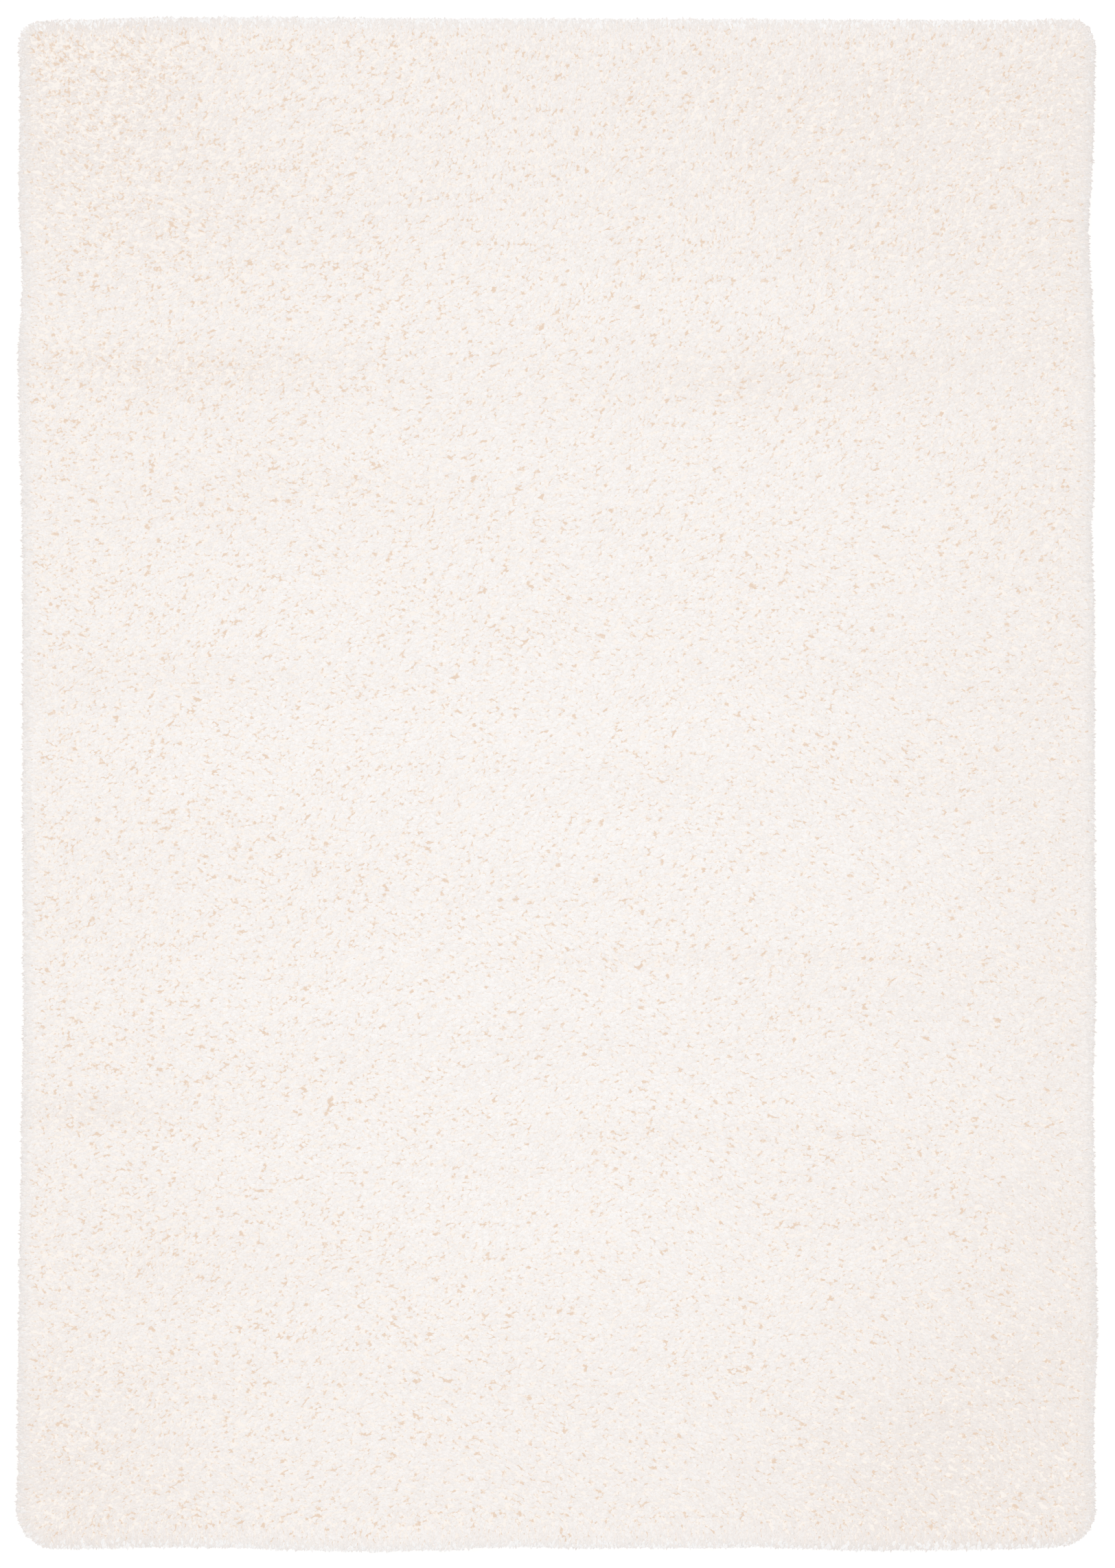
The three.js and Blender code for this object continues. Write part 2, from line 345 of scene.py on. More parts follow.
class Pen:
    """Writes nodes into one tree."""

    def __init__(self, tree):
        self.tree = tree
        tree.nodes.clear()

    def add(self, kind, settings=None, sockets=None, output=0):
        """One node: its settings first, then its sockets by name or in order."""
        node = self.tree.nodes.new(kind)
        for name, value in (settings or {}).items():
            if name == "stops":
                self.set_stops(node.color_ramp.elements, value)
            else:
                setattr(node, name, value)
        named = sockets.items() if isinstance(sockets, dict) else enumerate(sockets or [])
        for key, value in named:
            if isinstance(value, Signal):
                self.tree.links.new(value.socket, node.inputs[key])
            else:
                node.inputs[key].default_value = value
        return Signal(self, node.outputs[output]) if len(node.outputs) else node

    @staticmethod
    def set_stops(elements, stops):
        while len(elements) < len(stops):
            elements.new(0.5)
        for element, (place, colour) in zip(elements, stops):
            element.position = place
            element.color = (*colour, 1)

    def blend(self, share, first, second):
        """A colour between two others."""
        first, second = (c if isinstance(c, Signal) else (*c, 1) for c in (first, second))
        sockets = {"Factor": share, "A": first, "B": second}
        return self.add("ShaderNodeMix", {"data_type": "RGBA"}, sockets, "Result")

    def fade(self, signal, start, end, to_start=0.0, to_end=1.0):
        """A gentle change from one value to another while the signal passes a range."""
        sockets = {"Value": signal, "From Min": start, "From Max": end}
        sockets |= {"To Min": to_start, "To Max": to_end}
        return self.add("ShaderNodeMapRange", {"interpolation_type": "SMOOTHSTEP"}, sockets)

    def bump(self, height, strength, depth):
        """The small relief of a surface."""
        sockets = {"Strength": strength, "Distance": depth, "Height": height}
        return self.add("ShaderNodeBump", sockets=sockets)

    def surface(self, colour, bump, roughness, sheen=0.0):
        """Cloth and yarn: rough, hardly shiny, and fuzzy where there is sheen."""
        sockets = {"Base Color": colour, "Normal": bump, "Roughness": roughness}
        sockets |= {"Sheen Weight": sheen, "Specular IOR Level": DRY_SPECULAR}
        shader = self.add("ShaderNodeBsdfPrincipled", sockets=sockets)
        self.add("ShaderNodeOutputMaterial", sockets={"Surface": shader})


def new_finish(name):
    finish = bpy.data.materials.new(name)
    finish.use_nodes = True
    return finish, Pen(finish.node_tree)


# %% [markdown]
# ## Floor, light and camera
#
# A pale rug on a pale floor needs light from all round, or the small shadows
# turn grey. The world gives that light. One broad lamp overhead and a little
# to the back adds the shape of each yarn end. The camera looks straight down,
# from a height where the rug just fills the frame.

# %% Lay the floor
FLOOR_HALF = 60.0
FLOOR_COLOUR = (0.96, 0.96, 0.96)
FLOOR_ROUGHNESS = 0.8


def make_floor():
    mesh = bpy.data.meshes.new("floor")
    spots = [(-1, -1), (1, -1), (1, 1), (-1, 1)]
    mesh.from_pydata([(x * FLOOR_HALF, y * FLOOR_HALF, 0) for x, y in spots], [], [(0, 1, 2, 3)])
    finish, pen = new_finish("floor_paint")
    sockets = {"Base Color": (*FLOOR_COLOUR, 1), "Roughness": FLOOR_ROUGHNESS}
    shader = pen.add("ShaderNodeBsdfPrincipled", sockets=sockets)
    pen.add("ShaderNodeOutputMaterial", sockets={"Surface": shader})
    mesh.materials.append(finish)
    floor = bpy.data.objects.new("floor", mesh)
    bpy.context.scene.collection.objects.link(floor)


make_floor()
print("floor, in metres across:", 2 * FLOOR_HALF)

# %% Hang the lights
WORLD_STRENGTH = 1.02
LAMP_STRENGTH = 0.33
LAMP_SPREAD = math.radians(80)
LAMP_FROM = Vector((-0.15, 0.2, 1))


def make_light():
    world = bpy.data.worlds.new("studio")
    bpy.context.scene.world = world
    world.use_nodes = True
    pen = Pen(world.node_tree)
    sockets = {"Color": (1, 1, 1, 1), "Strength": WORLD_STRENGTH}
    glow = pen.add("ShaderNodeBackground", sockets=sockets)
    pen.add("ShaderNodeOutputWorld", sockets={"Surface": glow})
    lamp = bpy.data.lights.new("overhead", "SUN")
    lamp.energy = LAMP_STRENGTH
    lamp.angle = LAMP_SPREAD
    holder = bpy.data.objects.new("overhead", lamp)
    holder.rotation_euler = (-LAMP_FROM).to_track_quat("-Z", "Y").to_euler()
    bpy.context.scene.collection.objects.link(holder)


make_light()
bpy.context.scene.view_settings.view_transform = "Standard"
print("share of the light that the lamp gives:", round(LAMP_STRENGTH / math.pi / WORLD_STRENGTH, 2))

# %% Place the camera
LENS = 60.0
SENSOR = 36.0
PICTURE_HEIGHT = 2284
MM_PER_PIXEL = 1.0325
WIDEST_AT = 12 * MM
VIEW_CENTRE = (0.6 * MM, 0.8 * MM)


def make_camera():
    view_height = PICTURE_HEIGHT * MM_PER_PIXEL * MM
    camera = bpy.data.cameras.new("camera")
    camera.lens = LENS
    camera.sensor_width = SENSOR
    holder = bpy.data.objects.new("camera", camera)
    holder.location = (*VIEW_CENTRE, WIDEST_AT + view_height * LENS / SENSOR)
    bpy.context.scene.collection.objects.link(holder)
    bpy.context.scene.camera = holder
    return holder


print("camera height, in metres:", round(make_camera().location.z, 2))

# %% [markdown]
# ## The woven ground
#
# Under the pile is a plain woven cloth that holds every tuft. It shows only
# when the rug is turned over, as a flat, slightly rough canvas. Weaving
# thousands of real threads would cost more faces than the whole pile, so the
# cloth is one thin closed sheet, and its over-and-under pattern is a product
# of two waves, roughened by noise where a real thread has slubs.

# %% Colour the canvas
THREAD_PITCH = 4.5 * MM
CANVAS_LIGHT = (0.8, 0.75, 0.66)
CANVAS_DARK = (0.6, 0.53, 0.43)
CANVAS_SLUBS = {"Scale": 260.0, "Detail": 3.0}
WEAVE_SHARE = 0.6
WEAVE_RELIEF = {"strength": 0.6, "depth": 1 * MM}
CANVAS_ROUGHNESS = 0.9
CANVAS_SHEEN = 0.1


def canvas_finish():
    finish, pen = new_finish("woven_canvas")
    place = pen.add("ShaderNodeTexCoord", output="Object")
    parts = pen.add("ShaderNodeSeparateXYZ", sockets=[place])
    turn = math.tau / (2 * THREAD_PITCH)
    across = (parts.give("X") * turn).math("SINE")
    along = (parts.give("Y") * turn).math("SINE")
    weave = (across * along) * 0.5 + 0.5
    slubs = pen.add("ShaderNodeTexNoise", sockets={"Vector": place, **CANVAS_SLUBS})
    share = weave * WEAVE_SHARE + slubs * (1 - WEAVE_SHARE)
    colour = pen.blend(share, CANVAS_DARK, CANVAS_LIGHT)
    pen.surface(colour, pen.bump(share, **WEAVE_RELIEF), CANVAS_ROUGHNESS, CANVAS_SHEEN)
    return finish


canvas = canvas_finish()
print("canvas threads to 100 mm:", round(100 * MM / THREAD_PITCH))

# %% Lay the ground
GROUND_THICK = 2 * MM
GROUND_PITCH = 40 * MM
GROUND_RINGS = [
    (2 * MM, GROUND_THICK),
    (0, 0.7 * GROUND_THICK),
    (0, 0.3 * GROUND_THICK),
    (1 * MM, 0),
]


def ground_height(places):
    return np.full(len(places), GROUND_THICK)


ground = blanket("woven_ground", GROUND_RINGS, GROUND_PITCH, ground_height, canvas)

# %% [markdown]
# ## The mass of yarn
#
# Between the standing ends you look into the pile and see more yarn, deeper
# and warmer in tone, because light that reaches it has bounced from strand to
# strand and each bounce takes a little blue away. Building that depth from
# strands would double their number for something half hidden. So the low pile
# is one closed, lumpy body just under the tips, and that shade is painted into
# its colour, which falls to a deeper, warmer painted shade in hollows where two
# sorts of noise run low.

# %% Colour the low yarn
# The deep colour is painted shade: the shadowed yarn between the yarn ends.
DEEP_YARN_SHADE = (0.735, 0.585, 0.47)
LOW_YARN = (0.87, 0.815, 0.765)
LOW_STRANDS = {"Scale": 170.0, "Detail": 4.0, "Roughness": 0.6}
HOLLOW_SHADE_NOISE = {"Scale": 60.0, "Detail": 2.0}
STRANDS_SHARE = 0.6
HOLLOW_SHADE_FADE = (0.40, 0.52)
LOW_RELIEF = {"strength": 0.5, "depth": 2 * MM}
YARN_ROUGHNESS = 0.95


def bed_finish():
    finish, pen = new_finish("low_yarn")
    place = pen.add("ShaderNodeTexCoord", output="Object")
    strands = pen.add("ShaderNodeTexNoise", sockets={"Vector": place, **LOW_STRANDS})
    shade_hollows = pen.add("ShaderNodeTexNoise", sockets={"Vector": place, **HOLLOW_SHADE_NOISE})
    uneven = strands * STRANDS_SHARE + shade_hollows * (1 - STRANDS_SHARE)
    colour = pen.blend(pen.fade(uneven, *HOLLOW_SHADE_FADE), DEEP_YARN_SHADE, LOW_YARN)
    pen.surface(colour, pen.bump(strands, **LOW_RELIEF), YARN_ROUGHNESS)
    return finish


low_yarn = bed_finish()
print("low yarn nodes:", len(low_yarn.node_tree.nodes))

# %% Heap up the low pile
BED_PITCH = 18 * MM
TUFT_RISE = 1.6 * MM
BED_RINGS = [
    (30 * MM, 31.2 * MM),
    (16.3 * MM, 29.6 * MM),
    (7.8 * MM, 26.8 * MM),
    (3.3 * MM, 23.0 * MM),
    (0.8 * MM, 17 * MM),
    (-0.2 * MM, 10.5 * MM),
    (-0.3 * MM, 6 * MM),
    (0.3 * MM, GROUND_THICK + 0.2 * MM),
]
SHOULDER_RINGS = 5
SHOULDER_EASE = 24 * MM
BED_SWELL = {"size": 46 * MM, "rise": 1.2 * MM, "seed": 11}


def bed_height(places):
    """The top of the low pile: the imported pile's own lumps, let down and roughened,
    easing into the rounded shoulder toward the edge."""
    inside, _ = inside_edge(places)
    insets, heights = np.array(BED_RINGS[:SHOULDER_RINGS]).T
    shoulder = np.interp(inside, insets[::-1], heights[::-1])
    ease = np.clip((inside - BED_RINGS[0][0]) / SHOULDER_EASE, 0, 1)
    deep = pile_height(places) - TUFT_RISE
    rough = BED_SWELL["rise"] * swell(places, BED_SWELL["size"], BED_SWELL["seed"])
    return shoulder * (1 - ease) + (deep + rough) * ease


bed = blanket("low_pile", BED_RINGS, BED_PITCH, bed_height, low_yarn)

# %% [markdown]
# ## The yarn's finish
#
# The yarn is soft, matt and nearly white, with a slow twist that shows as faint
# slanting ribs. Shade is painted into its colour: warmer and darker toward its
# root, at its flanks and in the valleys between the ribs. All the thousands of
# ends share one small map: its width is cut into columns, one for each tone of
# yarn, and its height runs from the root of a strand to its tip. Colour and
# twist are drawn on that map, so they follow each strand round every bend.
#
# The tones are stops of one ramp. The first three are painted shade and light
# for the outer yarn of the rim: the deepest for its lowest yarn near the floor,
# a cool grey shade for its sides, and a paler tone for the rug's two ends. The
# last two are for the field, from the warmest pressed places, which are painted
# shade, to the palest yarn in the middle.

# %% Name the tones of the yarn
TONES = 24
YARN_TONES_AND_SHADES = [
    (0.0, (0.79, 0.75, 0.73)),
    (0.08, (0.885, 0.865, 0.862)),
    (0.22, (0.955, 0.96, 0.968)),
    (0.26, (0.825, 0.776, 0.75)),
    (1.0, (0.929, 0.911, 0.904)),
]
# The root colour is painted shade, for yarn sunk in the pile, turned away at its flanks or down
# between its plies.
YARN_ROOT_SHADE = (0.80, 0.68, 0.575)
print("tones of yarn:", TONES)

# %% Colour the yarn
MAP_NAME = "OFBake"
PLIES = 3
TWIST_TURNS = 1.5
VALLEY_SHADE = 0.2
ROOT_SHADE_FADE = (0.02, 0.28)
FLANK_SHADE_FADE = (0.26, 0.5)
FLANK_SHADE = 0.7
PLY_RELIEF = {"strength": 0.3, "depth": 0.4 * MM}


def yarn_finish():
    finish, pen = new_finish("cream_yarn")
    place = pen.add("ShaderNodeUVMap", {"uv_map": MAP_NAME})
    parts = pen.add("ShaderNodeSeparateXYZ", sockets=[place])
    across = parts.give("X") * TONES
    along = parts.give("Y")
    around = across.math("FRACT")
    tone = across.math("FLOOR") * (1 / (TONES - 1))
    yarn = pen.add("ShaderNodeValToRGB", {"stops": YARN_TONES_AND_SHADES}, [tone])
    # Painted shade: toward the root, at the flanks and in the valleys of the twist.
    root = pen.fade(along, *ROOT_SHADE_FADE, 1.0, 0.0)
    painted_flank = pen.fade((around - 0.5).math("ABSOLUTE"), *FLANK_SHADE_FADE, 0.0, FLANK_SHADE)
    ribs = ((around * PLIES + along * TWIST_TURNS) * math.tau).math("SINE") * 0.5 + 0.5
    painted_valley = (1 - ribs) * VALLEY_SHADE
    shade = root.math("MAXIMUM", painted_flank).math("MAXIMUM", painted_valley)
    colour = pen.blend(shade, yarn, YARN_ROOT_SHADE)
    pen.surface(colour, pen.bump(ribs, **PLY_RELIEF), YARN_ROUGHNESS)
    return finish


cream_yarn = yarn_finish()
print("cream yarn nodes:", len(cream_yarn.node_tree.nodes))

# %% [markdown]
# ## One yarn end
#
# A yarn end rises out of the pile, swells, and lies down to its tip. Its root
# is buried, so it can start as a point, and the visible part needs only a ring
# of three corners where it is widest, the knee, and a tip. Six faces are
# enough at this size, which lets the pile be dense. A handful of kinds, each
# with its own bend and some of them plump to the end, keeps it from repeating.

# %% Draw the kinds of yarn end, in millimetres
YARN_KINDS = [
    {"knee": (8.5, -0.5, 3.2), "tip": (15.5, 1.0, 2.8), "radius": 4.5},
    {"knee": (7.5, 0.6, 3.3), "tip": (14.0, 3.5, 2.6), "radius": 4.3},
    {"knee": (9.0, 0.4, 2.9), "tip": (16.5, -2.5, 2.7), "radius": 4.6},
    {"knee": (7.0, -0.3, 3.4), "tip": (13.5, -4.0, 3.2), "radius": 4.2},
    {"knee": (8.0, 0.0, 3.5), "tip": (15.0, 0.0, 3.0), "radius": 4.4},
    {"knee": (9.0, 0.5, 3.1), "tip": (12.8, 1.5, 3.2), "radius": 4.3},
    {"knee": (9.5, -0.5, 2.9), "tip": (13.4, -1.5, 2.8), "radius": 4.4},
    {"knee": (8.5, 0.0, 3.4), "tip": (12.0, -0.5, 3.6), "radius": 4.2},
]
YARN_SIDES = 3
YARN_FLAT = 0.5
UP = Vector((0, 0, 1))


def ring_round(centre, direction, radius):
    """Three points round a strand, square to its direction, one of them on top."""
    side = direction.cross(UP).normalized()
    up = side.cross(direction).normalized()
    angles = [math.tau * k / YARN_SIDES for k in range(YARN_SIDES)]
    return [centre + radius * (YARN_FLAT * math.cos(a) * up + math.sin(a) * side) for a in angles]


print("kinds of yarn end:", len(YARN_KINDS))

# %% [markdown]
# ## Its map and its light
#
# Each strand carries a small map of its own, from side to side and from root
# to tip, which the tufting later moves into the column of its tone.
#
# Six flat faces would show hard creases, and a real strand is a fuzzy cylinder
# that takes light from well round its sides. So the mesh carries its own
# normals too: on the upper faces they are lifted toward the sky, and on the
# under faces they are kept from pointing straight down.

# %% Write the strand's map and its normals
SIDE_ACROSS = [(0.5, 1.0), (1.0, 1.0), (0.0, 0.5)]
ALONG = [0.0, 0.5, 0.5, 0.5, 1.0]
YARN_LIFT = 0.4
YARN_LEAST_LIFT = 0.35
YARN_UNDER_TILT = -0.35


def write_strand_map(mesh, across):
    """Writes the map: the share across for each corner of each face, and that along."""
    strand_map = mesh.uv_layers.new(name="strand_map")
    for face, sides in zip(mesh.polygons, across):
        for loop, side in zip(face.loop_indices, sides):
            strand_map.data[loop].uv = (side, ALONG[mesh.loops[loop].vertex_index])


def no_lower(normal, least):
    """A normal that points down no further than this."""
    return Vector((normal.x, normal.y, max(normal.z, least))).normalized()


def soften(mesh):
    """Gives the strand normals of its own, lifted toward the sky."""
    mesh.shade_smooth()
    own = [vertex.normal.copy() for vertex in mesh.vertices]
    lit = [no_lower(n.lerp(UP, YARN_LIFT), YARN_LEAST_LIFT) for n in own]
    under = [no_lower(n, YARN_UNDER_TILT) for n in own]
    soft = [(lit if face.normal.z > 0 else under)[v] for face in mesh.polygons for v in face.vertices]
    mesh.normals_split_custom_set(soft)


print("least lift of a lit normal, in degrees:", round(math.degrees(math.asin(YARN_LEAST_LIFT))))

# %% Model the kinds of yarn end
def yarn_end(name, kind):
    """One kind of yarn end, from a point at the origin, lying toward +X."""
    knee, tip = Vector(kind["knee"]) * MM, Vector(kind["tip"]) * MM
    places = [Vector(), *ring_round(knee, tip, kind["radius"] * MM), tip]
    faces, across = [], []
    for k, (near, far) in enumerate(SIDE_ACROSS):
        n = (k + 1) % YARN_SIDES
        middle = (near + far) / 2
        faces += [(0, 1 + n, 1 + k), (1 + k, 1 + n, 1 + YARN_SIDES)]
        across += [(middle, far, near), (near, far, middle)]
    mesh = bpy.data.meshes.new(name)
    mesh.from_pydata(places, [], faces)
    write_strand_map(mesh, across)
    soften(mesh)
    return bpy.data.objects.new(name, mesh)


kinds = bpy.data.collections.new("yarn_kinds")
for number, kind in enumerate(YARN_KINDS):
    kinds.objects.link(yarn_end(f"yarn_kind_{number}", kind))

# %% [markdown]
# ## The tufting
#
# The ends repeat by the thousand, which is work for Geometry Nodes. Copying
# meshes in a loop would do it too, but slowly, and with nothing left to
# adjust. The tree takes a cloud of stitches, each of which knows which way
# the pile lies there, how far it leans, how tall it grows and its tone. It
# sets a random kind of yarn end on each, turned and tilted a little by
# chance, makes the copies real, writes the shared map, and puts the finish on.

# %% Open a tree with named inputs
TREE_INPUTS = {
    "Stitches": "NodeSocketGeometry",
    "Slimness": "NodeSocketFloat",
    "Lie spread": "NodeSocketFloat",
    "Lean spread": "NodeSocketFloat",
    "Size spread": "NodeSocketFloat",
    "Tone spread": "NodeSocketFloat",
    "Seed": "NodeSocketInt",
    "Yarn kinds": "NodeSocketCollection",
    "Finish": "NodeSocketMaterial",
}
TREE_DEFAULTS = {
    "Slimness": 1.0,
    "Lie spread": 0.42,
    "Lean spread": 0.15,
    "Size spread": 0.15,
    "Tone spread": 0.15,
    "Seed": 1,
}


def open_tree(name):
    tree = bpy.data.node_groups.new(name, "GeometryNodeTree")
    for given, kind in TREE_INPUTS.items():
        socket = tree.interface.new_socket(given, in_out="INPUT", socket_type=kind)
        if given in TREE_DEFAULTS:
            socket.default_value = TREE_DEFAULTS[given]
    tree.interface.new_socket("Pile", in_out="OUTPUT", socket_type="NodeSocketGeometry")
    return tree


print("inputs of the tufting:", len(TREE_INPUTS))

# %% Ask each stitch, and throw dice for it
DICE = {"Lie spread": 1, "Lean spread": 2, "Size spread": 3, "Tone spread": 4, "Yarn kinds": 5}


def carried(pen, name, data_type="FLOAT"):
    """What each stitch, or the strand made from it, carries under this name."""
    return pen.add("GeometryNodeInputNamedAttribute", {"data_type": data_type}, {"Name": name})


def dice(pen, given, what, data_type, low, high):
    """A random number for each stitch, with a seed that is this input's own."""
    sockets = {"Min": low, "Max": high, "Seed": given.give("Seed") + DICE[what]}
    return pen.add("FunctionNodeRandomValue", {"data_type": data_type}, sockets, "Value")


def chance(pen, given, what):
    """A random number either side of zero, as far as this spread."""
    spread = given.give(what)
    return dice(pen, given, what, "FLOAT", 0 - spread, spread)


print("dice thrown for each stitch:", len(DICE))

# %% Set an end on each stitch
def ends_on_stitches(pen, given):
    """A random kind of yarn end on each stitch, turned, tilted and sized."""
    stitches = given.give("Stitches")
    lie = carried(pen, "lie") + chance(pen, given, "Lie spread")
    lean = carried(pen, "lean") + chance(pen, given, "Lean spread")
    grow = carried(pen, "grow") * (chance(pen, given, "Size spread") + 1.0)
    turn = pen.add("ShaderNodeCombineXYZ", sockets=[0.0, lean, lie])
    size = pen.add("ShaderNodeCombineXYZ", sockets=[grow, grow * given.give("Slimness"), grow])
    ends = {"Collection": given.give("Yarn kinds"), "Separate Children": True, "Reset Children": True}
    sockets = {
        "Points": pen.add("GeometryNodeMeshToPoints", {"mode": "VERTICES"}, {"Mesh": stitches}),
        "Instance": pen.add("GeometryNodeCollectionInfo", sockets=ends),
        "Pick Instance": True,
        "Instance Index": dice(pen, given, "Yarn kinds", "INT", 0, len(YARN_KINDS) - 1),
        "Rotation": pen.add("FunctionNodeEulerToRotation", sockets=[turn]),
        "Scale": size,
    }
    return pen.add("GeometryNodeInstanceOnPoints", sockets=sockets)


# %% Find each strand's column of the shared map
MAP_MARGIN = {"across": 0.05, "along": 0.01}


def tone_column(pen, given):
    """The column of the map that holds this stitch's tone."""
    tone = carried(pen, "tone") + chance(pen, given, "Tone spread")
    return (tone * TONES).math("FLOOR").math("MAXIMUM", 0.0).math("MINIMUM", TONES - 1.0)


def within(share, margin):
    """A share that keeps clear of both ends of its column by a margin."""
    return share * (1 - 2 * margin) + margin


def shared_map(pen):
    """The place on the shared map: the strand's own map, moved into its column."""
    own = pen.add("ShaderNodeSeparateXYZ", sockets=[carried(pen, "strand_map", "FLOAT_VECTOR")])
    share = within(own.give("X"), MAP_MARGIN["across"])
    across = (carried(pen, "tone_column") + share) * (1 / TONES)
    along = within(own.give("Y"), MAP_MARGIN["along"])
    return pen.add("ShaderNodeCombineXYZ", sockets=[across, along, 0.0])


def store(pen, geometry, name, value, data_type, domain):
    """Writes a value on a geometry under a name."""
    settings = {"data_type": data_type, "domain": domain}
    sockets = {"Geometry": geometry, "Name": name, "Value": value}
    return pen.add("GeometryNodeStoreNamedAttribute", settings, sockets)


print("share of the map that one tone has:", round(1 / TONES, 3))

# %% Write the tufting tree
def tufting_tree():
    tree = open_tree("tufting")
    pen = Pen(tree)
    given = pen.add("NodeGroupInput")
    ends = ends_on_stitches(pen, given)
    toned = store(pen, ends, "tone_column", tone_column(pen, given), "FLOAT", "INSTANCE")
    real = pen.add("GeometryNodeRealizeInstances", sockets={"Geometry": toned})
    mapped = store(pen, real, MAP_NAME, shared_map(pen), "FLOAT2", "CORNER")
    smooth = pen.add("GeometryNodeSetShadeSmooth", sockets={"Geometry": mapped})
    sockets = {"Geometry": smooth, "Material": given.give("Finish")}
    pen.add("NodeGroupOutput", sockets=[pen.add("GeometryNodeSetMaterial", sockets=sockets)])
    return tree


tufting = tufting_tree()
print("tufting nodes:", len(tufting.nodes))

# %% [markdown]
# ## Rows of stitches
#
# Stitches stand in staggered rows, as a tufting machine sets them. A square
# grid would leave straight lanes in both directions, so every second row is
# shifted by half a pitch, and each stitch strays a little from its place.

# %% Lay out staggered rows
STITCH_PITCH = 5.45 * MM
STITCH_STRAY = 0.22
EVEN_SHARES = (0.754878, 0.569840)


def staggered_rows(pitch, seed):
    """Stitches in staggered rows over the whole rug, each off its place by chance, and a
    number from 0 to 1 for each, shared out so that neighbours never have the same."""
    step = pitch * math.sqrt(3) / 2
    rows = np.arange(-half.y, half.y, step)
    columns = np.arange(-half.x, half.x, pitch)
    x, y = np.meshgrid(columns, rows)
    x = x + pitch / 2 * (np.arange(len(rows)) % 2)[:, None]
    places = np.column_stack([x.ravel(), y.ravel()])
    places += np.random.default_rng(seed).uniform(-1, 1, places.shape) * pitch * STITCH_STRAY
    column, row = np.meshgrid(np.arange(len(columns)), np.arange(len(rows)))
    return places, (column * EVEN_SHARES[0] + row * EVEN_SHARES[1]).ravel() % 1


print("rows over the rug:", round(2 * half.y / (STITCH_PITCH * math.sqrt(3) / 2)))

# %% [markdown]
# ## Which way the pile lies
#
# The pile lies the way that feet, rolling and the sweeper have pushed it. The
# direction drifts slowly over the rug, and single strands fall one way or the
# other along it. At the edge nothing holds them up, so they turn outward. A short
# table of angles, in degrees from +X, gives the slow drift, and soft swells
# add the quick one.

# %% Read the lie of the pile
LIE_TABLE = [
    {"place": -1.0, "left": 25, "middle": 8, "right": -32},
    {"place": -0.4, "left": 22, "middle": 10, "right": -9},
    {"place": 0.2, "left": 10, "middle": 14, "right": 2},
    {"place": 0.6, "left": 4, "middle": 38, "right": 30},
    {"place": 1.0, "left": 0, "middle": 60, "right": 42},
]
LIE_SWIRL = {"size": 120 * MM, "turn": 26, "seed": 21}
LIE_CURL = {"size": 34 * MM, "turn": 18, "seed": 22}


def lie_of_pile(places):
    """Which way the pile lies at each place, as an angle from +X."""
    rows = [row["place"] for row in LIE_TABLE]
    y, x = places[:, 1] / half.y, np.clip(places[:, 0] / half.x, -1, 1)
    left, middle, right = (
        np.interp(y, rows, [row[name] for row in LIE_TABLE]) for name in ("left", "middle", "right")
    )
    lie = np.where(x < 0, middle + (left - middle) * -x, middle + (right - middle) * x)
    for drift in (LIE_SWIRL, LIE_CURL):
        lie = lie + drift["turn"] * swell(places, drift["size"], drift["seed"])
    return np.radians(lie)


print("lie at the middle, in degrees:", round(math.degrees(lie_of_pile(np.zeros((1, 2)))[0])))

# %% Let single strands fall, and turn the outer ones outward
EITHER_WAY = 0.5
OUTWARD_PULL = 0.22
FIELD_FROM = 16 * MM
RIM_BLEND = 50 * MM
TURN_BACK = math.radians(110)


def fall_outward(places, lie, turns):
    """Lets each strand fall one way or the other along the lie, mostly outward near the rim."""
    radial = places / np.array([half.x, half.y])
    agrees = (radial * np.column_stack([np.cos(lie), np.sin(lie)])).sum(axis=1)
    return np.where(turns < EITHER_WAY + OUTWARD_PULL * agrees, lie, lie + math.pi)


def turn_outward(lie, inside, nearest):
    """Turns the strands near the edge outward, the more the nearer they stand to it."""
    rim = eased(np.clip(1 - (inside - FIELD_FROM) / RIM_BLEND, 0, 1))
    out = np.arctan2(edge_out[nearest, 1], edge_out[nearest, 0])
    turn = (out - lie + math.pi) % math.tau - math.pi
    turn = np.where(turn < -TURN_BACK, turn + math.tau, turn)
    return lie + turn * rim


print("share that falls outward at the edge:", EITHER_WAY + OUTWARD_PULL)

# %% [markdown]
# ## Tone and fullness
#
# Shade is painted into the yarn's tone: it is palest in the middle of the rug,
# with painted shade growing toward its edges, and warmest where it was folded
# or trodden on, where the pressed pile is painted in shade. Its fullness drifts
# too: thin yarn lets more of the deep shadow through. Painting either by hand
# would be slow, and no number could change it later. So both are written as a
# plain fall of painted shade from the middle, soft banks of pile that run
# across the rug, and a short list of pressed places. Each has its centre and
# its reach in metres, and "deep" says how strongly it is pressed.

